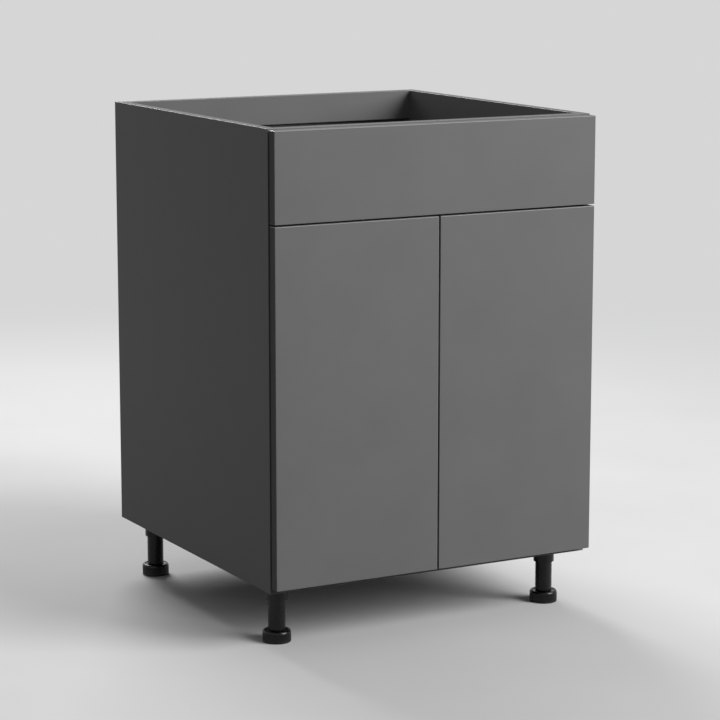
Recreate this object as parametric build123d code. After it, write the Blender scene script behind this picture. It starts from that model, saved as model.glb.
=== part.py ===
from build123d import *
import os

# Sink base cabinet: an open-topped box on four adjustable legs, closed in front by a fixed
# fascia and two doors on concealed single-pivot cup hinges.
# Millimetres. X runs across, Y from the fronts to the wall, Z up from the floor; X = 0 and
# Y = 0 are the middle of the outline.

# Outline
cabinet_width = 610.0
carcass_height = 762.0
carcass_depth = 610.0
leg_height = 100.0

# Boards
board = 18.0                    # melamine-faced board of the carcass
edging = 1.0                    # banding glued on the carcass's edges that show
edge_round = 0.6                # radius on the carcass's banded edges
back_thickness = 6.0
rebate_width = 9.0              # step in the sides that takes the back panel
front_rail_height = 180.0
rear_rail_height = 52.0

# Fronts
front_thickness = 19.0
front_edging = 2.0              # banding round the fronts
front_round = 1.5               # radius on the fronts' banded edges
front_standoff = 2.5            # from the fronts to the carcass, held by soft bumpers
front_gap = 3.0                 # between doors, and between the doors and the fascia
side_reveal = 1.5
top_reveal = 2.0
bottom_reveal = 9.0
fascia_height = 150.0

# Cam fittings and dowels that join the rails and the bottom to the sides
cam_radius = 7.5
cam_depth = 13.5
cam_reach = 34.0                # from the end of the board to the middle of the cam
cam_slot_radius = 3.6
cam_cross = (9.0, 2.0, 3.0)     # length, width and depth of the driver's recess
bolt_radius = 2.5
bolt_head_radius = 3.4
bolt_head_length = 4.0
bolt_grip = 11.0                # bolt's hold in the side
bolt_bore_radius = 4.0
dowel_radius = 4.0
dowel_length = 30.0
dowel_hold = 10.0               # part of the dowel that stands in the side
dowel_bevel = 1.0
bore_clearance = 0.05
dowel_pitch = 32.0
front_rail_margin = 42.0        # from the rail's long edges to its cams
rear_rail_margin = 16.0
rear_dowel_pitch = 22.0
bottom_end_margin = 110.0       # from the bottom's front and rear edges to its cams

# Screws: head radius, head length, shank radius, hold in what they are driven into
back_screw = (3.4, 2.0, 1.6, 15.0)
leg_screw = (3.5, 2.0, 1.7, 12.0)
fascia_screw = (4.2, 2.4, 2.0, 12.0)
cup_screw = (3.8, 1.6, 1.8, 11.0)
plate_screw = (4.4, 2.0, 2.9, 11.0)
arm_screw = (4.0, 2.0, 2.4, 6.0)
head_bevel = 0.3                # share of the head's length
recess_span = 1.25              # shares of the head's radius
recess_width = 0.3
recess_depth = 0.6              # share of the head's length
back_screw_spacing = 150.0
back_screw_margin = 30.0
fascia_screw_across = 360.0
fascia_screw_rows = 80.0

# Soft bumpers
bumper_radius = 4.0
bumper_inset = 30.0             # from the free edge of a front to its bumpers
bumper_clearance = 0.2
bumper_round = 0.8

# Hinges. The pin stands in the door; the arm is cranked round the circle that the door's
# rear corner sweeps, so the door turns clear of the carcass and of the arm.
hinge_inset = 100.0             # from the door's top and bottom edges to its hinges
pivot_from_edge = 7.3           # pin to the door's edge
pivot_from_back = 12.0          # pin to the door's back face
pin_radius = 1.1
pin_clearance = 0.05
pin_head_radius = 1.35
pin_head_length = 0.6
eye_radius = 2.2
arm_half_width = 5.0
tongue_thickness = 2.4
neck_thickness = 4.0
neck_clearance = 0.6            # neck to the circle of the door's rear corner
crank_outer_round = 2.8
crank_inner_round = 1.0
cup_radius = 17.5
cup_wall = 0.6
cup_round = 2.4                 # drawn corner between the cup's wall and floor
cup_from_edge = 3.0             # board left between the cup's bore and the door's edge
cup_floor_clearance = 0.3
cheek_clearance = 0.3
cheek_thickness = 2.5
cheek_reach = 4.0               # pin to the free edges of a cheek
flange_thickness = 1.0
flange_radius = 18.5
flange_ear_radius = 6.0
cup_screw_pitch = 48.0
cup_screw_offset = 6.0
plate_screw_line = 37.0         # plate screws behind the carcass front
plate_screw_pitch = 32.0
wing_thickness = 2.5
wing_width = 13.0
wing_overhang = 6.5
wing_round = 5.0
ridge_height = 9.0
ridge_half_width = 7.0
ridge_start = 22.0              # behind the carcass front, as the next places are
ridge_end = 60.0
ridge_bevel = 1.2
channel_wall = 1.5
channel_clearance = 0.3
channel_round = 1.2
channel_start = 8.0
channel_end = 64.0
channel_foot = 3.0              # from the side to the channel's free edges
channel_bevel = 4.5             # slope at the rear of the channel's two walls
side_screw_line = 27.0
depth_screw_line = 52.0
screw_tip_room = 1.0

# Legs
leg_side_inset = 42.0
leg_front_setback = 61.0
leg_rear_setback = 55.0
socket_radius = 18.0
socket_length = 27.0
socket_cap = 4.0
socket_flange = (60.0, 56.0, 3.0)
flange_corner = 8.0
leg_screw_pitch = 40.0
tube_radius = 14.5
tube_bore_radius = 11.0
tube_clearance = 0.1
foot_radius = 24.0
foot_height = 20.0
foot_bevel = 3.0
foot_base_bevel = 1.0
groove_radius = 1.1
groove_offset = 0.4             # groove's middle outside the foot
groove_margin = 3.0
foot_grooves = 36
foot_seat_gap = 0.3
stem_length = 38.0
thread_clearance = 0.08

# Places that follow from the sizes above
half_width = cabinet_width / 2
inner_half = half_width - board
front_face = -(carcass_depth + front_standoff + front_thickness) / 2
front_back_face = front_face + front_thickness
carcass_front = front_back_face + front_standoff
carcass_rear = carcass_front + carcass_depth
carcass_top = leg_height + carcass_height
back_face = carcass_rear - back_thickness
fascia_top = carcass_top - top_reveal
fascia_bottom = fascia_top - fascia_height
door_top = fascia_bottom - front_gap
door_bottom = leg_height + bottom_reveal

pivot_x = -half_width + side_reveal + pivot_from_edge
pivot_y = front_back_face - pivot_from_back
corner_sweep = (pivot_from_edge ** 2 + pivot_from_back ** 2) ** 0.5
neck_start = pivot_x + corner_sweep + neck_clearance
neck_end = neck_start + neck_thickness
tongue_front = pivot_y - eye_radius
tongue_back = tongue_front + tongue_thickness
cup_x = -half_width + side_reveal + cup_from_edge + cup_radius
cup_floor = tongue_front - cup_floor_clearance
cup_depth = front_back_face - cup_floor + cup_wall
cheek_inside = arm_half_width + cheek_clearance
pin_half_length = cheek_inside + cheek_thickness
ridge_top = -inner_half + ridge_height
channel_top = ridge_top + channel_wall

FROM_BOTTOM = (Align.CENTER, Align.CENTER, Align.MIN)
FROM_TOP = (Align.CENTER, Align.CENTER, Align.MAX)
all_edges = ["X-", "X+", "Z-", "Z+"]

made = {}


def keep(name, *shapes):
    """Write down one sub-part: a solid, or separate solids that belong together."""
    solids = [solid for shape in shapes for solid in shape.solids()]
    made[name] = solids[0] if len(solids) == 1 else Compound(solids)


def mirrored(shape):
    return mirror(shape, about=Plane.YZ)


def block(low, high):
    """A box between two opposite corners."""
    size = [b - a for a, b in zip(low, high)]
    middle = [(a + b) / 2 for a, b in zip(low, high)]
    return Pos(*middle) * Box(*size)


def rod(start, direction, radius, length):
    """A cylinder that starts at a point and runs along a direction."""
    return Plane(origin=start, z_dir=direction) * Cylinder(radius, length, align=FROM_BOTTOM)


def lies_on(edge, axis, value):
    """Whether an edge lies at one value of X, Y or Z."""
    box = edge.bounding_box()
    ends = [tuple(end)["XYZ".index(axis)] for end in (box.min, box.max)]
    return all(abs(end - value) < 1e-4 for end in ends)


def edged_board(low, high, banded, butted=(), strip=edging, radius=edge_round):
    """A board and the banding round it; banded and butted name its faces, such as "Y-"."""
    corners = {"-": low, "+": high}

    def on_faces(edge, faces):
        return any(lies_on(edge, axis, corners[side]["XYZ".index(axis)]) for axis, side in faces)

    whole = block(low, high)
    whole = fillet([edge for edge in whole.edges()
                    if on_faces(edge, banded) and not on_faces(edge, butted)], radius)
    core_corners = {"-": list(low), "+": list(high)}
    for axis, side in banded:
        core_corners[side]["XYZ".index(axis)] += strip if side == "-" else -strip
    core = block(core_corners["-"], core_corners["+"])
    return whole & core, whole - core


def cross_screw(start, direction, kind, through, sunk=False):
    """A cross-head screw whose head seats at start; it passes through something, then holds."""
    head_radius, head_length, shank_radius, hold = kind
    if sunk:
        head = Cone(head_radius, shank_radius, head_length, align=FROM_TOP)
    else:
        head = Cylinder(head_radius, head_length, align=FROM_TOP)
        head = chamfer(head.edges().sort_by(Axis.Z)[0], head_length * head_bevel)
    span, width = head_radius * recess_span, head_radius * recess_width
    depth = head_length * recess_depth
    recess = Box(span, width, depth, align=FROM_BOTTOM) + Box(width, span, depth, align=FROM_BOTTOM)
    shank = Cylinder(shank_radius, through + hold, align=FROM_BOTTOM)
    screw = head - Pos(0, 0, -head_length) * recess + shank
    return Plane(origin=start, z_dir=direction) * screw


# Carcass boards
def carcass_boards():
    side, side_banding = edged_board((-half_width, carcass_front, leg_height),
                                     (-inner_half, carcass_rear, carcass_top), ["Y-", "Z+"])
    rebate = block((-inner_half - rebate_width, back_face, leg_height - board),
                   (-inner_half + board, carcass_rear + board, carcass_top + board))
    side -= rebate
    side_banding -= rebate

    ends = ["X-", "X+"]
    bottom, bottom_banding = edged_board((-inner_half, carcass_front, leg_height),
                                         (inner_half, back_face, leg_height + board),
                                         ["Y-"], ends)
    front_rail, front_banding = edged_board(
        (-inner_half, carcass_front, carcass_top - front_rail_height),
        (inner_half, carcass_front + board, carcass_top), ["Z+", "Z-"], ends)
    rear_rail, rear_banding = edged_board(
        (-inner_half, back_face - board, carcass_top - rear_rail_height),
        (inner_half, back_face, carcass_top), ["Z+", "Z-"], ends)
    back = block((-inner_half - rebate_width, back_face, leg_height),
                 (inner_half + rebate_width, carcass_rear, carcass_top))
    boards = {
        "side_panel_left": side,
        "side_panel_right": mirrored(side),
        "bottom_panel": bottom,
        "front_rail": front_rail,
        "rear_rail": rear_rail,
        "back_panel": back,
    }
    keep("carcass_edging", side_banding, mirrored(side_banding), bottom_banding, front_banding,
         rear_banding)
    return boards


# Joints between the sides and the boards they carry
def joint_places():
    """Cams as (board, place in the board's end, way the mouth faces), dowels without the way."""
    front_middle = carcass_front + board / 2
    rear_middle = back_face - board / 2
    bottom_middle = leg_height + board / 2
    front_low = carcass_top - front_rail_height + front_rail_margin
    front_high = carcass_top - front_rail_margin
    rear_low = carcass_top - rear_rail_height + rear_rail_margin
    bottom_first = carcass_front + bottom_end_margin
    bottom_last = back_face - bottom_end_margin
    bottom_half_way = (bottom_first + bottom_last) / 2
    backwards, downwards = (0, 1, 0), (0, 0, -1)
    cams = [
        ("front_rail", (front_middle, front_low), backwards),
        ("front_rail", (front_middle, front_high), backwards),
        ("rear_rail", (rear_middle, rear_low), backwards),
        ("bottom_panel", (bottom_first, bottom_middle), downwards),
        ("bottom_panel", (bottom_half_way, bottom_middle), downwards),
        ("bottom_panel", (bottom_last, bottom_middle), downwards),
    ]
    dowels = [
        ("front_rail", (front_middle, front_low + dowel_pitch)),
        ("front_rail", (front_middle, front_high - dowel_pitch)),
        ("rear_rail", (rear_middle, rear_low + rear_dowel_pitch)),
        ("bottom_panel", (bottom_first + dowel_pitch, bottom_middle)),
        ("bottom_panel", (bottom_last - dowel_pitch, bottom_middle)),
    ]
    return cams, dowels


def cam_fitting(place, mouth):
    """Cam and bolt at a board's left end, and the bores for them in the board and the side."""
    centre = Vector(-inner_half + cam_reach, *place)
    end = Vector(-inner_half, *place)
    face = centre + Vector(*mouth) * (board / 2)
    inward = -Vector(*mouth)
    cam_bore = rod(face, inward, cam_radius, cam_depth)
    slot = rod(centre, (-1, 0, 0), cam_slot_radius, 2 * cam_radius)
    length, width, depth = cam_cross
    cross = Box(length, width, depth, align=FROM_BOTTOM) + Box(width, length, depth,
                                                               align=FROM_BOTTOM)
    cam = cam_bore - slot - Plane(origin=face, x_dir=(1, 0, 0), z_dir=inward) * cross
    bolt = rod(end, (-1, 0, 0), bolt_radius, bolt_grip)
    bolt += rod(end, (1, 0, 0), bolt_radius, cam_reach)
    bolt += rod(centre, (-1, 0, 0), bolt_head_radius, bolt_head_length)
    board_bore = cam_bore + rod(end, (1, 0, 0), bolt_bore_radius, cam_reach)
    side_bore = rod(end, (-1, 0, 0), bolt_radius + bore_clearance, bolt_grip)
    return cam, bolt, board_bore, side_bore


def bore_both_ends(boards, name, board_bore, side_bore):
    boards[name] = boards[name] - board_bore - mirrored(board_bore)
    boards["side_panel_left"] = boards["side_panel_left"] - side_bore
    boards["side_panel_right"] = boards["side_panel_right"] - mirrored(side_bore)


def join_carcass(boards):
    cam_places, dowel_places = joint_places()
    cams, bolts, dowels = [], [], []
    for name, place, mouth in cam_places:
        cam, bolt, board_bore, side_bore = cam_fitting(place, mouth)
        bore_both_ends(boards, name, board_bore, side_bore)
        cams += [cam, mirrored(cam)]
        bolts += [bolt, mirrored(bolt)]
    for name, place in dowel_places:
        start = (-inner_half - dowel_hold, *place)
        dowel = rod(start, (1, 0, 0), dowel_radius, dowel_length)
        dowel = chamfer(dowel.edges().filter_by(GeomType.CIRCLE), dowel_bevel)
        bore = rod(start, (1, 0, 0), dowel_radius + bore_clearance, dowel_length)
        bore_both_ends(boards, name, bore, bore)
        dowels += [dowel, mirrored(dowel)]
    keep("cam_housings", *cams)
    keep("cam_bolts", *bolts)
    keep("dowels", *dowels)


def evenly(first, last, spacing):
    """Places from first to last, about the spacing apart."""
    steps = max(1, round((last - first) / spacing))
    return [first + (last - first) * step / steps for step in range(steps + 1)]


def screw_back(boards):
    """Countersunk screws along the back panel's four edges."""
    head_radius, head_length, shank_radius, hold = back_screw
    rebate_middle = inner_half + rebate_width / 2
    heights = evenly(leg_height + back_screw_margin, carcass_top - back_screw_margin,
                     back_screw_spacing)
    across = evenly(2 * cam_reach - inner_half, inner_half - 2 * cam_reach, back_screw_spacing)
    places = [(-rebate_middle, height, "side_panel_left") for height in heights]
    places += [(rebate_middle, height, "side_panel_right") for height in heights]
    places += [(x, leg_height + board / 2, "bottom_panel") for x in across]
    places += [(x, carcass_top - rear_rail_height / 2, "rear_rail") for x in across]
    screws = []
    for x, height, name in places:
        start = (x, carcass_rear - head_length, height)
        through = back_thickness - head_length
        screws.append(cross_screw(start, (0, -1, 0), back_screw, through, sunk=True))
        bore = rod(start, (0, -1, 0), shank_radius + bore_clearance, through + hold)
        sink = Cone(head_radius + bore_clearance, shank_radius + bore_clearance, head_length,
                    align=FROM_TOP)
        bore += Plane(origin=start, z_dir=(0, -1, 0)) * sink
        boards["back_panel"] = boards["back_panel"] - bore
        boards[name] = boards[name] - bore
    keep("back_screws", *screws)


def bumper(x, height, length):
    """A soft stud on a front's back face, rounded where the carcass meets it."""
    stud = rod((x, front_back_face, height), (0, 1, 0), bumper_radius, length)
    return fillet(stud.edges().sort_by(Axis.Y)[-1], bumper_round)


# Fixed front over the doors
def fixed_front(boards):
    half = half_width - side_reveal
    panel, banding = edged_board((-half, front_face, fascia_bottom),
                                 (half, front_back_face, fascia_top), all_edges,
                                 strip=front_edging, radius=front_round)
    shank_radius, hold = fascia_screw[2:]
    middle = (fascia_top + fascia_bottom) / 2
    rows = (middle - fascia_screw_rows / 2, middle + fascia_screw_rows / 2)
    through = board + front_standoff
    screws = []
    bumpers = []
    for height in rows:
        for side in (-1, 1):
            start = (side * fascia_screw_across / 2, carcass_front + board, height)
            screws.append(cross_screw(start, (0, -1, 0), fascia_screw, through))
            bore = rod(start, (0, -1, 0), shank_radius + bore_clearance, through + hold)
            panel -= bore
            boards["front_rail"] = boards["front_rail"] - bore
            bumpers.append(bumper(side * (half - bumper_inset), height, front_standoff))
    keep("fascia_panel", panel)
    keep("fascia_edging", banding)
    keep("fascia_screws", *screws)
    keep("fascia_bumpers", *bumpers)


# Concealed hinge of the left door, drawn about its middle height
def flat(x_low, x_high, y_low, y_high):
    return Pos((x_low + x_high) / 2, (y_low + y_high) / 2) * Rectangle(x_high - x_low,
                                                                       y_high - y_low)


def hinge_pin():
    """Pin with a riveted head outside each cheek."""
    pin = Cylinder(pin_radius, 2 * (pin_half_length + pin_head_length))
    for side in (-1, 1):
        middle = side * (pin_half_length + pin_head_length / 2)
        pin += Pos(0, 0, middle) * Cylinder(pin_head_radius, pin_head_length)
    return Pos(pivot_x, pivot_y) * pin


def hinge_arm():
    """Cranked arm: eye, tongue and neck, and the channel that straddles the plate's ridge."""
    front, rear = carcass_front + channel_start, carcass_front + channel_end
    crank = flat(pivot_x, neck_end, tongue_front, tongue_back)
    crank += flat(neck_start, neck_end, tongue_front, front)
    crank += Pos(pivot_x, pivot_y) * Circle(eye_radius)
    for corner, radius in (((neck_end, tongue_front), crank_outer_round),
                           ((neck_start, tongue_back), crank_inner_round)):
        vertex = crank.vertices().sort_by_distance((*corner, 0))[0]
        crank = fillet(vertex, radius)
    crank = extrude(crank, arm_half_width, both=True)

    inside = ridge_half_width + channel_clearance
    outside = inside + channel_wall
    foot = -inner_half + channel_foot
    channel = block((foot, front - channel_wall, -outside), (channel_top, rear, outside))
    channel = fillet([edge for edge in channel.edges().filter_by(Axis.Y)
                      if lies_on(edge, "X", channel_top)], channel_round)
    channel = chamfer([edge for edge in channel.edges().filter_by(Axis.Z)
                       if lies_on(edge, "X", foot) and lies_on(edge, "Y", rear)], channel_bevel)
    channel -= block((foot - board, front, -inside), (ridge_top, rear + board, inside))
    arm = channel + crank
    arm -= Pos(pivot_x, pivot_y) * Cylinder(pin_radius + pin_clearance, 2 * pin_half_length)
    # The side screw has a round hole, the depth screw a slot that is open to the rear
    hole = arm_screw[2] + pin_clearance
    for line in (side_screw_line, depth_screw_line):
        arm -= rod((ridge_top, carcass_front + line, 0), (1, 0, 0), hole, board)
    arm -= block((ridge_top, carcass_front + depth_screw_line, -hole),
                 (channel_top, rear, hole))
    return arm


def mounting_plate():
    """Winged plate on the side panel, with the ridge that carries the arm."""
    line = carcass_front + plate_screw_line
    wing_half = plate_screw_pitch / 2 + wing_overhang
    wings = block((-inner_half, line - wing_width / 2, -wing_half),
                  (-inner_half + wing_thickness, line + wing_width / 2, wing_half))
    wings = fillet(wings.edges().filter_by(Axis.X), wing_round)
    ridge = block((-inner_half, carcass_front + ridge_start, -ridge_half_width),
                  (ridge_top, carcass_front + ridge_end, ridge_half_width))
    ridge = chamfer([edge for edge in ridge.edges().filter_by(Axis.Y)
                     if lies_on(edge, "X", ridge_top)], ridge_bevel)
    plate = wings + ridge
    for side in (-1, 1):
        plate -= rod((-inner_half, line, side * plate_screw_pitch / 2), (1, 0, 0),
                     plate_screw[2] + pin_clearance, wing_thickness)
    for screw_line in (side_screw_line, depth_screw_line):
        plate -= rod((ridge_top, carcass_front + screw_line, 0), (-1, 0, 0),
                     arm_screw[2] + pin_clearance, arm_screw[3] + screw_tip_room)
    return plate


def hinge_cup():
    """Cup let into the door, with its screw flange and the two cheeks that hold the pin."""
    mouth = Plane(origin=(cup_x, front_back_face, 0), x_dir=(1, 0, 0), z_dir=(0, -1, 0))
    body = Cylinder(cup_radius, cup_depth, align=FROM_BOTTOM)
    body = mouth * fillet(body.edges().sort_by(Axis.Z)[-1], cup_round)
    ears = [Pos(cup_screw_offset, side * cup_screw_pitch / 2) * Circle(flange_ear_radius)
            for side in (-1, 1)]
    outline = make_hull(ears[0].edges() + ears[1].edges()) + Circle(flange_radius)
    flange = mouth * extrude(outline, -flange_thickness)
    room = Cylinder(cup_radius - cup_wall, flange_thickness + cup_depth - cup_wall,
                    align=FROM_BOTTOM)
    room = fillet(room.edges().sort_by(Axis.Z)[-1], cup_round - cup_wall)
    room = mouth * (Pos(0, 0, -flange_thickness) * room)
    cup = body + flange - room
    for low, high in ((-pin_half_length, -cheek_inside), (cheek_inside, pin_half_length)):
        cup += body & block((cup_x - cup_radius, cup_floor - cup_wall, low),
                            (pivot_x + cheek_reach, pivot_y + cheek_reach, high))
    cup -= Pos(pivot_x, pivot_y) * Cylinder(pin_radius, 2 * pin_half_length)
    for side in (-1, 1):
        cup -= rod((cup_x + cup_screw_offset, front_back_face, side * cup_screw_pitch / 2),
                   (0, 1, 0), cup_screw[2] + pin_clearance, flange_thickness)
    return cup


def hinge_pieces():
    """The pieces of one hinge, and the bores for it in the side and in the door."""
    plate_line = carcass_front + plate_screw_line
    ear_x = cup_x + cup_screw_offset
    plate_screws, cup_screws = [], []
    side_bores = []
    door_bore = rod((cup_x, front_back_face, 0), (0, -1, 0), cup_radius, cup_depth)
    for side in (-1, 1):
        height = side * plate_screw_pitch / 2
        plate_screws.append(cross_screw((-inner_half + wing_thickness, plate_line, height),
                                        (-1, 0, 0), plate_screw, wing_thickness))
        side_bores.append(rod((-inner_half, plate_line, height), (-1, 0, 0),
                              plate_screw[2] + bore_clearance, plate_screw[3]))
        height = side * cup_screw_pitch / 2
        cup_screws.append(cross_screw((ear_x, front_back_face + flange_thickness, height),
                                      (0, -1, 0), cup_screw, flange_thickness))
        door_bore += rod((ear_x, front_back_face, height), (0, -1, 0),
                         cup_screw[2] + bore_clearance, cup_screw[3])
    arm_screws = [cross_screw((channel_top, carcass_front + line, 0), (-1, 0, 0), arm_screw,
                              channel_wall) for line in (side_screw_line, depth_screw_line)]
    pieces = {
        "hinge_plates": [mounting_plate()],
        "hinge_plate_screws": plate_screws,
        "hinge_arms": [hinge_arm()],
        "hinge_arm_screws": arm_screws,
        "hinge_cups": [hinge_cup()],
        "hinge_cup_screws": cup_screws,
        "hinge_pins": [hinge_pin()],
    }
    return pieces, side_bores, door_bore


def doors_and_hinges(boards):
    outer, inner = -half_width + side_reveal, -front_gap / 2
    panel, banding = edged_board((outer, front_face, door_bottom),
                                 (inner, front_back_face, door_top), all_edges,
                                 strip=front_edging, radius=front_round)
    hinge, side_bores, door_bore = hinge_pieces()
    pieces = {name: [] for name in hinge}
    for height in (door_bottom + hinge_inset, door_top - hinge_inset):
        place = Pos(0, 0, height)
        for name, shapes in hinge.items():
            pieces[name] += [place * shape for shape in shapes]
        panel -= place * door_bore
        for bore in side_bores:
            bore = place * bore
            boards["side_panel_left"] = boards["side_panel_left"] - bore
            boards["side_panel_right"] = boards["side_panel_right"] - mirrored(bore)
    low_seat = (door_bottom + leg_height + board) / 2
    high_seat = (door_top + carcass_top - front_rail_height) / 2
    pieces["door_panel"] = [panel]
    pieces["door_edging"] = [banding]
    pieces["door_bumpers"] = [
        bumper(inner - bumper_inset, seat, front_standoff - bumper_clearance)
        for seat in (low_seat, high_seat)]
    for name, shapes in pieces.items():
        keep(name + "_left", *shapes)
        keep(name + "_right", *[mirrored(shape) for shape in shapes])


# Legs
def leg_screw_places():
    half = leg_screw_pitch / 2
    return [(x, y) for x in (-half, half) for y in (-half, half)]


def leg_socket():
    """Socket with its screw flange, hung from the carcass's underside at zero."""
    across, along, plate = socket_flange
    flange = Box(across, along, plate, align=FROM_TOP)
    flange = fillet(flange.edges().filter_by(Axis.Z), flange_corner)
    bore = Pos(0, 0, -socket_cap) * Cylinder(tube_radius + tube_clearance, socket_length,
                                             align=FROM_TOP)
    socket = flange + Cylinder(socket_radius, socket_length, align=FROM_TOP) - bore
    for x, y in leg_screw_places():
        socket -= Pos(x, y, 0) * Cylinder(leg_screw[2] + bore_clearance, plate, align=FROM_TOP)
    return socket


def leg_tube():
    """Tube from just over the foot to the socket's cap; the floor is zero."""
    low = foot_height + foot_seat_gap
    length = leg_height - socket_cap - low
    tube = Cylinder(tube_radius, length, align=FROM_BOTTOM)
    tube -= Cylinder(tube_bore_radius, length - socket_cap, align=FROM_BOTTOM)
    return Pos(0, 0, low) * tube


def leg_foot():
    """Round foot with a grooved grip, and the stem that runs up the tube."""
    stem_radius = tube_bore_radius - thread_clearance
    outline = Polyline((0, 0), (foot_radius - foot_base_bevel, 0),
                       (foot_radius, foot_base_bevel), (foot_radius, foot_height - foot_bevel),
                       (foot_radius - foot_bevel, foot_height), (stem_radius, foot_height),
                       (stem_radius, foot_height + stem_length),
                       (0, foot_height + stem_length), close=True)
    foot = revolve(Plane.XZ * make_face(outline), Axis.Z)
    grip = foot_height - foot_bevel - 2 * groove_margin
    groove = Pos(foot_radius + groove_offset, 0, groove_margin) * Cylinder(
        groove_radius, grip + groove_margin, align=FROM_BOTTOM)
    for number in range(foot_grooves):
        foot -= Rot(0, 0, 360 / foot_grooves * number) * groove
    return foot


def legs(boards):
    side = half_width - leg_side_inset
    front, rear = carcass_front + leg_front_setback, carcass_rear - leg_rear_setback
    places = {
        "front_left": (-side, front),
        "front_right": (side, front),
        "rear_left": (-side, rear),
        "rear_right": (side, rear),
    }
    socket, tube, foot = leg_socket(), leg_tube(), leg_foot()
    plate = socket_flange[2]
    screws = []
    for name, (x, y) in places.items():
        keep("leg_socket_" + name, Pos(x, y, leg_height) * socket)
        keep("leg_tube_" + name, Pos(x, y, 0) * tube)
        keep("leg_foot_" + name, Pos(x, y, 0) * foot)
        for dx, dy in leg_screw_places():
            start = (x + dx, y + dy, leg_height - plate)
            screws.append(cross_screw(start, (0, 0, 1), leg_screw, plate))
            bore = rod(start, (0, 0, 1), leg_screw[2] + bore_clearance, plate + leg_screw[3])
            boards["bottom_panel"] = boards["bottom_panel"] - bore
    keep("leg_screws", *screws)


boards = carcass_boards()
join_carcass(boards)
screw_back(boards)
fixed_front(boards)
doors_and_hinges(boards)
legs(boards)
for name, shape in boards.items():
    keep(name, shape)

os.makedirs("parts", exist_ok=True)
for name, shape in made.items():
    export_step(shape, "parts/" + name + ".step")
print(len(made), "sub-parts written")
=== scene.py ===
import math
import bmesh
import bpy
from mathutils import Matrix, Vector


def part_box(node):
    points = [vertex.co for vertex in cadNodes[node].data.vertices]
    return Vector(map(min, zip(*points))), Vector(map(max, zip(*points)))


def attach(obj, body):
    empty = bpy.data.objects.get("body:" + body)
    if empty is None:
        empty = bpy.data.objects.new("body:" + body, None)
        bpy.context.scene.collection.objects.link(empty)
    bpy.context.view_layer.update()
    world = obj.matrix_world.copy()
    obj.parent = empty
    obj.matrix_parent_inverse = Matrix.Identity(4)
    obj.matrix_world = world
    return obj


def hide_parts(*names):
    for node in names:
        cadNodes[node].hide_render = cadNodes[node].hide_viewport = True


# A grey sink base cabinet: open-topped box, fixed fascia, two doors on cup hinges, four
# black adjustable legs. X runs across, Y from the fronts to the wall, Z up, in metres.

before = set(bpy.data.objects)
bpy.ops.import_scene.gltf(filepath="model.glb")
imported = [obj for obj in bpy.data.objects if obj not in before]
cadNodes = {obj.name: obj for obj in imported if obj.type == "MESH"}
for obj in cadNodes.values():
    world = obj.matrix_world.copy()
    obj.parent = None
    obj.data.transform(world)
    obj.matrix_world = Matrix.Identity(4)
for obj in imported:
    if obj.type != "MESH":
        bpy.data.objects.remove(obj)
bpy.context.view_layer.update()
scene = bpy.context.scene
print("frame loaded:", len(cadNodes), "nodes")

mm = 0.001
corners = ("front_left", "front_right", "rear_left", "rear_right")
noiseRange = (0.3, 0.7)     # nearly all values of a noise lie between these
cadSmoothAngle = 32         # degrees; sharper edges of the CAD pieces stay crisp


def linearColour(hexColour):
    # sRGB hex to the linear values that shaders take
    values = [int(hexColour[i:i + 2], 16) / 255 for i in (1, 3, 5)]
    values = [v / 12.92 if v <= 0.04045 else ((v + 0.055) / 1.055) ** 2.4 for v in values]
    return (*values, 1.0)


def addNode(tree, kind, settings=None, links=None):
    # Lower-case settings are the node's own, capitalised and numbered ones are its sockets
    node = tree.nodes.new(kind)
    for name, value in (settings or {}).items():
        if isinstance(name, str) and name[0].islower():
            setattr(node, name, value)
        else:
            node.inputs[name].default_value = value
    for name, source in (links or {}).items():
        tree.links.new(source, node.inputs[name])
    return node


def newMaterial(name, shaderSettings):
    # A material with one Principled shader, and the piece's own coordinates in metres
    material = bpy.data.materials.new(name)
    material.use_nodes = True
    tree = material.node_tree
    tree.nodes.clear()
    shader = addNode(tree, "ShaderNodeBsdfPrincipled", shaderSettings)
    output = addNode(tree, "ShaderNodeOutputMaterial")
    tree.links.new(shader.outputs["BSDF"], output.inputs["Surface"])
    place = addNode(tree, "ShaderNodeTexCoord")
    return material, tree, shader, place


def wear(tree, place, grainSize, low, high):
    # A noise of one grain size, spread between two values
    noise = addNode(tree, "ShaderNodeTexNoise", {"Scale": 1 / grainSize, "Detail": 3.0},
                    {"Vector": place.outputs["Object"]})
    spread = addNode(tree, "ShaderNodeMapRange",
                     {"From Min": noiseRange[0], "From Max": noiseRange[1],
                      "To Min": low, "To Max": high},
                     {"Value": noise.outputs["Fac"]})
    return spread.outputs["Result"]


def looksAlong(tree, place, axis):
    # 1 where the surface looks along this axis of the piece, and 0 elsewhere
    direction = addNode(tree, "ShaderNodeSeparateXYZ", None, {"Vector": place.outputs["Normal"]})
    size = addNode(tree, "ShaderNodeMath", {"operation": "ABSOLUTE"}, {0: direction.outputs[axis]})
    mostly = addNode(tree, "ShaderNodeMath", {"operation": "GREATER_THAN", 1: 0.5},
                     {0: size.outputs[0]})
    return mostly.outputs[0]


def blendColours(tree, factor, first, second):
    # The Mix node repeats its socket names for each kind of value, so they go by number
    mix = addNode(tree, "ShaderNodeMix", {"data_type": "RGBA", "clamp_factor": True})
    for number, colour in ((6, first), (7, second)):
        if isinstance(colour, str):
            mix.inputs[number].default_value = linearColour(colour)
        else:
            tree.links.new(colour, mix.inputs[number])
    tree.links.new(factor, mix.inputs[0])
    return mix.outputs[2]


def bump(tree, shader, height, distance):
    node = addNode(tree, "ShaderNodeBump", {"Distance": distance, "Strength": 1.0},
                   {"Height": height})
    tree.links.new(node.outputs["Normal"], shader.inputs["Normal"])


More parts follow.
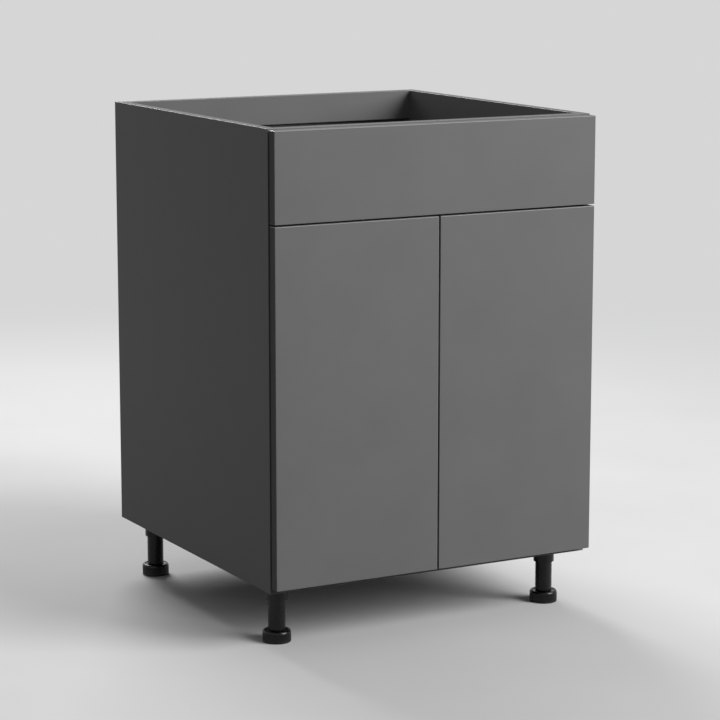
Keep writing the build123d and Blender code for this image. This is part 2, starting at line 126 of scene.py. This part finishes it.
# Melamine-faced chipboard: paper soaked in resin and pressed on a pearl plate, so the faces
# are matt with a very fine grain; cut edges and bores show raw wood flakes.
melamine = {"shader": {"IOR": 1.5, "Specular IOR Level": 0.15},
            "face": "#6D6D6E", "faceLow": "#6A6A6B", "faceRough": (0.475, 0.49),
            "cloud": 90 * mm, "pearl": 1.6 * mm, "pearlDepth": 0.012 * mm,
            "chipLight": "#C2A680", "chipDark": "#8A6D4C", "chipRough": 0.9,
            "chip": 3.2 * mm, "chipThin": 2.2, "chipDepth": 0.25 * mm}


def melamineBoard(thicknessAxis):
    material, tree, shader, place = newMaterial("melamineBoard" + thicknessAxis,
                                                melamine["shader"])
    cloud = wear(tree, place, melamine["cloud"], 0.0, 1.0)
    face = blendColours(tree, cloud, melamine["faceLow"], melamine["face"])
    # Flakes lie flat in the board, so they are thinner across it than along it
    thin = [melamine["chipThin"] if axis == thicknessAxis else 1.0 for axis in "XYZ"]
    lying = addNode(tree, "ShaderNodeMapping", {"Scale": thin},
                    {"Vector": place.outputs["Object"]})
    flakes = addNode(tree, "ShaderNodeTexVoronoi", {"Scale": 1 / melamine["chip"], "Detail": 1.0},
                     {"Vector": lying.outputs["Vector"]})
    tone = addNode(tree, "ShaderNodeSeparateColor", None, {"Color": flakes.outputs["Color"]})
    chips = blendColours(tree, tone.outputs["Red"], melamine["chipDark"], melamine["chipLight"])
    # A surface that doesn't look along the board's thickness is a cut edge or a bore
    isFace = looksAlong(tree, place, thicknessAxis)
    tree.links.new(blendColours(tree, isFace, chips, face), shader.inputs["Base Color"])
    faceRough = wear(tree, place, melamine["cloud"], *melamine["faceRough"])
    rough = addNode(tree, "ShaderNodeMix", {"data_type": "FLOAT", 2: melamine["chipRough"]},
                    {0: isFace, 3: faceRough})
    tree.links.new(rough.outputs[0], shader.inputs["Roughness"])
    pearl = addNode(tree, "ShaderNodeTexNoise", {"Scale": 1 / melamine["pearl"], "Detail": 2.0},
                    {"Vector": place.outputs["Object"]})
    fine = addNode(tree, "ShaderNodeMath", {"operation": "MULTIPLY", 1: melamine["pearlDepth"]},
                   {0: pearl.outputs["Fac"]})
    coarse = addNode(tree, "ShaderNodeMath", {"operation": "MULTIPLY", 1: melamine["chipDepth"]},
                     {0: tone.outputs["Green"]})
    height = addNode(tree, "ShaderNodeMix", {"data_type": "FLOAT"},
                     {0: isFace, 2: coarse.outputs[0], 3: fine.outputs[0]})
    bump(tree, shader, height.outputs[0], 1.0)      # the heights are in metres already
    return material


# ABS edge banding: extruded strip in the boards' grey with a fine matt emboss. Its arrises are
# scraped round and buffed, which leaves them smoother than the flats; their paler colour is a
# painted highlight along the arrises, partly scuffed ABS.
banding = {"shader": {"IOR": 1.52, "Specular IOR Level": 0.15},
           # the arris colour is a painted highlight, partly the whitening of scraped ABS
           "colour": "#6A6A6B", "colourLow": "#666667", "scuffAndHighlight": "#8A8A8B",
           "streak": 14 * mm, "grain": 1.2 * mm, "grainDepth": 0.01 * mm,
           "flatRough": (0.76, 0.84), "scrapedRough": 0.3, "flatFrom": 0.97, "flatTo": 0.998}


def edgeBanding():
    material, tree, shader, place = newMaterial("absEdgeBanding", banding["shader"])
    tone = wear(tree, place, banding["streak"], 0.0, 1.0)
    colour = blendColours(tree, tone, banding["colourLow"], banding["colour"])
    # On a flat, one part of the normal is 1; on a round, none is
    largest = None
    direction = addNode(tree, "ShaderNodeSeparateXYZ", None, {"Vector": place.outputs["Normal"]})
    for axis in "XYZ":
        size = addNode(tree, "ShaderNodeMath", {"operation": "ABSOLUTE"},
                       {0: direction.outputs[axis]}).outputs[0]
        if largest is not None:
            size = addNode(tree, "ShaderNodeMath", {"operation": "MAXIMUM"},
                           {0: largest, 1: size}).outputs[0]
        largest = size
    flat = addNode(tree, "ShaderNodeMapRange",
                   {"From Min": banding["flatFrom"], "From Max": banding["flatTo"]},
                   {"Value": largest}).outputs["Result"]
    # The rounds get the paler colour: a painted highlight along the arrises, partly scuffed ABS
    tree.links.new(blendColours(tree, flat, banding["scuffAndHighlight"], colour),
                   shader.inputs["Base Color"])
    flatRough = wear(tree, place, banding["streak"], *banding["flatRough"])
    rough = addNode(tree, "ShaderNodeMix", {"data_type": "FLOAT", 2: banding["scrapedRough"]},
                    {0: flat, 3: flatRough})
    tree.links.new(rough.outputs[0], shader.inputs["Roughness"])
    bump(tree, shader, wear(tree, place, banding["grain"], 0.0, 1.0), banding["grainDepth"])
    return material


# Lacquered fibreboard of the back panel: painted faces with a trace of felted fibres; its
# sawn edges show the fibres in a paler tone.
fibreboard = {"shader": {"IOR": 1.5, "Specular IOR Level": 0.25},
              "face": "#6A6A6B", "faceLow": "#666667", "edge": "#7A7A7B", "edgeLow": "#6E6E6E",
              "fibre": 1.5 * mm, "fibreDepth": 0.02 * mm, "cloud": 60 * mm,
              "sheen": 40 * mm, "rough": (0.46, 0.56)}


def lacqueredFibreboard():
    material, tree, shader, place = newMaterial("lacqueredFibreboard", fibreboard["shader"])
    fibres = wear(tree, place, fibreboard["fibre"], 0.0, 1.0)
    edge = blendColours(tree, fibres, fibreboard["edgeLow"], fibreboard["edge"])
    cloud = wear(tree, place, fibreboard["cloud"], 0.0, 1.0)
    face = blendColours(tree, cloud, fibreboard["faceLow"], fibreboard["face"])
    isFace = looksAlong(tree, place, "Y")
    tree.links.new(blendColours(tree, isFace, edge, face), shader.inputs["Base Color"])
    tree.links.new(wear(tree, place, fibreboard["sheen"], *fibreboard["rough"]),
                   shader.inputs["Roughness"])
    bump(tree, shader, fibres, fibreboard["fibreDepth"])
    return material


# Plated and cast metals: the tone and the roughness wander a little, as plating does.
metals = {
    "nickelPlatedSteel": {"colours": ("#BBB9B4", "#C6C4BF"), "rough": (0.26, 0.32),
                          "grain": 6 * mm, "depth": 0.003 * mm},
    "zincPlatedSteel": {"colours": ("#B2B6BA", "#C1C5C9"), "rough": (0.34, 0.41),
                        "grain": 4 * mm, "depth": 0.004 * mm},
    "zincDieCasting": {"colours": ("#93938F", "#A19F9B"), "rough": (0.48, 0.56),
                       "grain": 2 * mm, "depth": 0.015 * mm},
}
metalFiner = 4      # a metal's relief is this many times finer than its changes of tone


def metal(name):
    finish = metals[name]
    material, tree, shader, place = newMaterial(name, {"Metallic": 1.0})
    tone = wear(tree, place, finish["grain"], 0.0, 1.0)
    tree.links.new(blendColours(tree, tone, *finish["colours"]), shader.inputs["Base Color"])
    tree.links.new(wear(tree, place, finish["grain"], *finish["rough"]),
                   shader.inputs["Roughness"])
    relief = wear(tree, place, finish["grain"] / metalFiner, 0.0, 1.0)
    bump(tree, shader, relief, finish["depth"])
    return material


# Turned beech: pale, with fine dark flecks along the grain.
beech = {"shader": {"IOR": 1.5}, "light": "#D8B98C", "dark": "#B48E5C",
         "ring": 1.4 * mm, "ringDepth": 0.05 * mm, "stretch": (0.12, 1.0, 1.0),
         "sheen": 5 * mm, "rough": (0.6, 0.75)}


def turnedBeech():
    material, tree, shader, place = newMaterial("turnedBeech", beech["shader"])
    stretch = addNode(tree, "ShaderNodeMapping", {"Scale": beech["stretch"]},
                      {"Vector": place.outputs["Object"]})
    grain = addNode(tree, "ShaderNodeTexNoise", {"Scale": 1 / beech["ring"], "Detail": 4.0},
                    {"Vector": stretch.outputs["Vector"]})
    tree.links.new(blendColours(tree, grain.outputs["Fac"], beech["dark"], beech["light"]),
                   shader.inputs["Base Color"])
    tree.links.new(wear(tree, place, beech["sheen"], *beech["rough"]), shader.inputs["Roughness"])
    bump(tree, shader, grain.outputs["Fac"], beech["ringDepth"])
    return material


# Soft clear PVC of the bumpers: milky, with a smooth moulded skin.
bumperPvc = {"shader": {"IOR": 1.53, "Transmission Weight": 0.45},
             "colour": "#DDE0E2", "colourLow": "#CFD3D6", "grain": 1.5 * mm, "rough": (0.2, 0.32)}


def softPvc():
    material, tree, shader, place = newMaterial("softClearPvc", bumperPvc["shader"])
    tone = wear(tree, place, bumperPvc["grain"], 0.0, 1.0)
    tree.links.new(blendColours(tree, tone, bumperPvc["colourLow"], bumperPvc["colour"]),
                   shader.inputs["Base Color"])
    tree.links.new(wear(tree, place, bumperPvc["grain"], *bumperPvc["rough"]),
                   shader.inputs["Roughness"])
    return material


# Moulded black polypropylene of the legs: spark-eroded mould grain with a low sheen.
legPlastic = {"shader": {"IOR": 1.49, "Specular IOR Level": 0.3},
              "colour": "#080808", "worn": "#0D0D0D", "cloud": 12 * mm,
              "sheen": 8 * mm, "rough": (0.22, 0.3), "grain": 1.3 * mm, "depth": 0.02 * mm}


def mouldedPolypropylene():
    material, tree, shader, place = newMaterial("mouldedPolypropylene", legPlastic["shader"])
    tone = wear(tree, place, legPlastic["cloud"], 0.0, 1.0)
    tree.links.new(blendColours(tree, tone, legPlastic["colour"], legPlastic["worn"]),
                   shader.inputs["Base Color"])
    tree.links.new(wear(tree, place, legPlastic["sheen"], *legPlastic["rough"]),
                   shader.inputs["Roughness"])
    bump(tree, shader, wear(tree, place, legPlastic["grain"], 0.0, 1.0), legPlastic["depth"])
    return material


boardFaces = {axis: melamineBoard(axis) for axis in "XYZ"}
edgeStrip = edgeBanding()
backBoard = lacqueredFibreboard()
nickel = metal("nickelPlatedSteel")
zinc = metal("zincPlatedSteel")
casting = metal("zincDieCasting")
dowelWood = turnedBeech()
bumperPlastic = softPvc()
blackPlastic = mouldedPolypropylene()

# The longest key that a node's name starts with gives its material
finishes = {
    "side_panel": boardFaces["X"],
    "bottom_panel": boardFaces["Z"],
    "front_rail": boardFaces["Y"],
    "rear_rail": boardFaces["Y"],
    "fascia_panel": boardFaces["Y"],
    "door_panel": boardFaces["Y"],
    "back_panel": backBoard,
    "carcass_edging": edgeStrip,
    "fascia_edging": edgeStrip,
    "door_edging": edgeStrip,
    "cam_housings": casting,
    "hinge_plates": casting,
    "cam_bolts": zinc,
    "back_screws": zinc,
    "fascia_screws": zinc,
    "leg_screws": zinc,
    "hinge_plate_screws": nickel,
    "hinge_arms": nickel,
    "hinge_arm_screws": nickel,
    "hinge_cups": nickel,
    "hinge_cup_screws": nickel,
    "hinge_pins": nickel,
    "dowels": dowelWood,
    "fascia_bumpers": bumperPlastic,
    "door_bumpers": bumperPlastic,
    "leg": blackPlastic,
}


def dress(obj, material):
    obj.data.materials.clear()
    obj.data.materials.append(material)


def smoothBelow(mesh, degrees):
    # Round surfaces shade smoothly, edges sharper than the angle stay crisp
    for polygon in mesh.polygons:
        polygon.use_smooth = True
    mesh.set_sharp_from_angle(angle=math.radians(degrees))


for nodeName, node in cadNodes.items():
    stem = max((key for key in finishes if nodeName.startswith(key)), key=len)
    dress(node, finishes[stem])
    smoothBelow(node.data, cadSmoothAngle)
print("materials on", len(cadNodes), "nodes")


# Feet: moulded disc with a grooved grip, and a coarse trapezoid thread on the stem
footSizes = {
    "radius": 24 * mm, "height": 20 * mm, "smoothAngle": 38,
    # Underside: a shallow hollow inside the ring that the foot stands on
    "hollow": 1.2 * mm, "ringWidth": 7 * mm, "ringSlope": 1 * mm, "ringLip": 0.2 * mm,
    "ringRound": 0.6 * mm, "baseBevel": 1 * mm, "baseRound": 0.3,
    # Grip: grooves that run out at both ends
    "gripLow": 2.4 * mm, "gripTop": 1.0 * mm, "gripRunOut": 0.8 * mm,
    "grooves": 36, "grooveDepth": 0.8 * mm, "grooveLand": 0.35, "perGroove": 8,
    # Top: a bevel, its knee and inner edge as shares of it, then a rim round a shallow dish
    "bevel": 3 * mm, "kneeIn": 0.5, "kneeDown": 0.1, "bevelIn": 0.66,
    "rim": 1.0 * mm, "dishSlope": 1.2 * mm, "topDish": 1.2 * mm, "stemGap": 2.0 * mm,
    # Stem: crest and flank are shares of half a pitch
    "stemRadius": 10.9 * mm, "stemCore": 9.3 * mm, "stemTop": 58 * mm, "stemSunk": 1.5 * mm,
    "pitch": 4 * mm, "crest": 0.3, "flank": 0.3, "threadEnd": 1.5 * mm,
    "stemSteps": 48, "levelsPerPitch": 10,
}


def footRings():
    # The disc's outline from the middle of its underside to the foot of the stem, each point
    # as (radius, height, share of the groove)
    s = footSizes
    r, h, bevel, base = s["radius"], s["height"], s["bevel"], s["baseBevel"]
    ringInner = r - s["ringWidth"]
    ringFoot = ringInner + s["ringSlope"]
    gripLow = s["gripLow"]
    gripHigh = h - bevel - s["gripTop"]
    rimInner = r - bevel - s["rim"]
    dish = h - s["topDish"]
    return [
        (0.0, s["hollow"], 0), (ringInner, s["hollow"], 0), (ringFoot, s["ringLip"], 0),
        (ringFoot + s["ringRound"], 0.0, 0), (r - base, 0.0, 0),
        (r - s["baseRound"] * base, s["baseRound"] * base, 0), (r, base, 0),
        (r, gripLow, 0), (r, gripLow + s["gripRunOut"], 1),
        (r, gripHigh - s["gripRunOut"], 1), (r, gripHigh, 0),
        (r, h - bevel, 0), (r - s["kneeIn"] * bevel, h - s["kneeDown"] * bevel, 0),
        (r - s["bevelIn"] * bevel, h, 0), (rimInner, h, 0), (rimInner - s["dishSlope"], dish, 0),
        (s["stemRadius"] + s["stemGap"], dish, 0), (s["stemCore"], dish, 0),
    ]


def grooveProfile(step):
    # Flat land, then a rounded groove, over each pitch of the grip
    land = footSizes["grooveLand"]
    share = step % footSizes["perGroove"] / footSizes["perGroove"]
    return max(0.0, math.sin(math.pi * (share - land) / (1 - land))) if share > land else 0.0


def threadRadius(height, turn):
    # Trapezoid thread: full radius on the crest, core in the root
    s = footSizes
    phase = (height / s["pitch"] - turn) % 1.0
    fromCrest = min(phase, 1 - phase) * 2
    share = min(1.0, max(0.0, (fromCrest - s["crest"]) / s["flank"]))
    fadeOut = min(1.0, (s["stemTop"] - height) / s["threadEnd"])
    return s["stemCore"] + (s["stemRadius"] - s["stemCore"]) * (1 - share) * fadeOut


def ringOf(mesh, radiusAt, height, count):
    ring = []
    for step in range(count):
        angle = 2 * math.pi * step / count
        radius = radiusAt(step)
        ring.append(mesh.verts.new((radius * math.cos(angle), radius * math.sin(angle), height)))
    return ring


def joinRings(mesh, rings):
    for lower, upper in zip(rings, rings[1:]):
        count = len(lower)
        for step in range(count):
            following = (step + 1) % count
            mesh.faces.new((lower[step], lower[following], upper[following], upper[step]))


def addDisc(mesh):
    s = footSizes
    count = s["grooves"] * s["perGroove"]
    outline = footRings()
    rings = []
    for radius, height, share in outline[1:]:
        depth = share * s["grooveDepth"]
        rings.append(ringOf(mesh, lambda step: radius - depth * grooveProfile(step),
                            height, count))
    joinRings(mesh, rings)
    centre = mesh.verts.new((0, 0, outline[0][1]))
    for step in range(count):
        mesh.faces.new((centre, rings[0][(step + 1) % count], rings[0][step]))


def addStem(mesh):
    s = footSizes
    low = s["height"] - s["stemSunk"]
    length = s["stemTop"] - low
    levels = int(length / (s["pitch"] / s["levelsPerPitch"]))
    rings = []
    for level in range(levels + 1):
        height = low + length * level / levels
        rings.append(ringOf(mesh, lambda step: threadRadius(height, step / s["stemSteps"]),
                            height, s["stemSteps"]))
    joinRings(mesh, rings)
    mesh.faces.new(reversed(rings[0]))
    mesh.faces.new(rings[-1])


def makeFoot(corner):
    low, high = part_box("leg_foot_" + corner)
    middle = (low + high) / 2
    mesh = bmesh.new()
    addDisc(mesh)
    addStem(mesh)
    data = bpy.data.meshes.new("footDisc_" + corner)
    mesh.to_mesh(data)
    mesh.free()
    foot = bpy.data.objects.new("footDisc_" + corner, data)
    scene.collection.objects.link(foot)
    foot.location = (middle.x, middle.y, 0)
    smoothBelow(data, footSizes["smoothAngle"])
    dress(foot, blackPlastic)
    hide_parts("leg_foot_" + corner)
    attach(foot, "foot_" + corner)


for corner in corners:
    makeFoot(corner)
print("feet built")


# Studio: a pale floor, soft light, and a pale background that lights nothing
studio = {"floor": "#D8D8D9", "floorLow": "#D4D4D5", "bounce": "#464647",
          "background": "#D6D6D7", "ambient": "#FFFFFF", "ambientStrength": 0.19,
          "floorShader": {"Specular IOR Level": 0.1}, "floorRough": (0.7, 0.8),
          "floorCloud": 400 * mm, "floorSheen": 250 * mm,
          "floorSize": 120.0, "fadeStart": 0.9, "fadeEnd": 3.4}


def seenRays(tree):
    # 1 for camera, glossy and transmission rays, which see the studio's own colours
    path = addNode(tree, "ShaderNodeLightPath")
    seen = addNode(tree, "ShaderNodeMath", {"operation": "MAXIMUM"},
                   {0: path.outputs["Is Camera Ray"], 1: path.outputs["Is Glossy Ray"]})
    seen = addNode(tree, "ShaderNodeMath", {"operation": "MAXIMUM"},
                   {0: seen.outputs[0], 1: path.outputs["Is Transmission Ray"]})
    return seen.outputs[0]


def mixShaders(tree, factor, first, second):
    mix = addNode(tree, "ShaderNodeMixShader")
    for number, source in enumerate((factor, first, second)):
        tree.links.new(source, mix.inputs[number])
    return mix.outputs[0]


def floorPaint():
    # Matt pale paint that keeps the shadow near the object, and away from it turns into the
    # background's own colour; it throws back less light than it shows
    material, tree, shader, place = newMaterial("paintedStudioFloor", studio["floorShader"])
    tone = wear(tree, place, studio["floorCloud"], 0.0, 1.0)
    pale = blendColours(tree, tone, studio["floorLow"], studio["floor"])
    seen = seenRays(tree)
    tree.links.new(blendColours(tree, seen, studio["bounce"], pale), shader.inputs["Base Color"])
    tree.links.new(wear(tree, place, studio["floorSheen"], *studio["floorRough"]),
                   shader.inputs["Roughness"])
    away = addNode(tree, "ShaderNodeVectorMath", {"operation": "LENGTH"},
                   {0: place.outputs["Object"]})
    fade = addNode(tree, "ShaderNodeMapRange",
                   {"interpolation_type": "SMOOTHSTEP", "From Min": studio["fadeStart"],
                    "From Max": studio["fadeEnd"]}, {"Value": away.outputs["Value"]})
    share = addNode(tree, "ShaderNodeMath", {"operation": "MULTIPLY"},
                    {0: fade.outputs["Result"], 1: seen})
    glow = addNode(tree, "ShaderNodeEmission", {"Color": linearColour(studio["background"]),
                                                "Strength": 1.0})
    above = mixShaders(tree, share.outputs[0], shader.outputs["BSDF"], glow.outputs[0])
    # From below the floor is clear, so the underside of the object can be looked at
    side = addNode(tree, "ShaderNodeNewGeometry")
    clear = addNode(tree, "ShaderNodeBsdfTransparent")
    output = next(node for node in tree.nodes if node.type == "OUTPUT_MATERIAL")
    tree.links.new(mixShaders(tree, side.outputs["Backfacing"], above, clear.outputs[0]),
                   output.inputs["Surface"])
    return material


def makeWorld():
    world = bpy.data.worlds.new("studioWorld")
    scene.world = world
    world.use_nodes = True
    tree = world.node_tree
    tree.nodes.clear()
    lit = addNode(tree, "ShaderNodeBackground", {"Color": linearColour(studio["ambient"]),
                                                 "Strength": studio["ambientStrength"]})
    shown = addNode(tree, "ShaderNodeBackground", {"Color": linearColour(studio["background"]),
                                                   "Strength": 1.0})
    output = addNode(tree, "ShaderNodeOutputWorld")
    tree.links.new(mixShaders(tree, seenRays(tree), lit.outputs[0], shown.outputs[0]),
                   output.inputs["Surface"])


def makeFloor():
    half = studio["floorSize"] / 2
    data = bpy.data.meshes.new("studioFloor")
    data.from_pydata([(-half, -half, 0), (half, -half, 0), (half, half, 0), (-half, half, 0)],
                     [], [(0, 1, 2, 3)])
    floor = bpy.data.objects.new("studioFloor", data)
    scene.collection.objects.link(floor)
    data.materials.append(floorPaint())


lamps = {
    "keyLamp": {"place": (2.9, -3.9, 2.8), "size": 3.4, "power": 318},
    "rearLamp": {"place": (0.4, 4.2, 3.4), "size": 3.0, "power": 215},
}
lampAim = (0, 0, 0.45)      # about the middle of the cabinet


def makeLamp(name, values):
    lamp = bpy.data.lights.new(name, "AREA")
    lamp.shape = "DISK"
    lamp.size = values["size"]
    lamp.energy = values["power"]
    holder = bpy.data.objects.new(name, lamp)
    scene.collection.objects.link(holder)
    holder.location = values["place"]
    aim = Vector(lampAim) - holder.location
    holder.rotation_euler = aim.to_track_quat("-Z", "Y").to_euler()


# The photograph's view, fitted without lens shift to a box 610 mm deep. Place in metres, yaw
# and pitch in degrees, lens and sensor in millimetres.
cameraView = {"place": (-2.1408, -3.9806, 1.2358), "yaw": 28.515, "pitch": -10.271,
              "lens": 129.95, "sensor": 36, "farClip": 200}


def makeCamera():
    data = bpy.data.cameras.new("photoCamera")
    data.sensor_width = cameraView["sensor"]
    data.lens = cameraView["lens"]
    data.clip_end = cameraView["farClip"]
    holder = bpy.data.objects.new("photoCamera", data)
    scene.collection.objects.link(holder)
    holder.location = cameraView["place"]
    holder.rotation_euler = (math.radians(90 + cameraView["pitch"]), 0,
                             math.radians(-cameraView["yaw"]))
    scene.camera = holder


makeWorld()
makeFloor()
for lampName, lampValues in lamps.items():
    makeLamp(lampName, lampValues)
makeCamera()
scene.view_settings.view_transform = "Standard"
print("studio, lamps and camera in place")
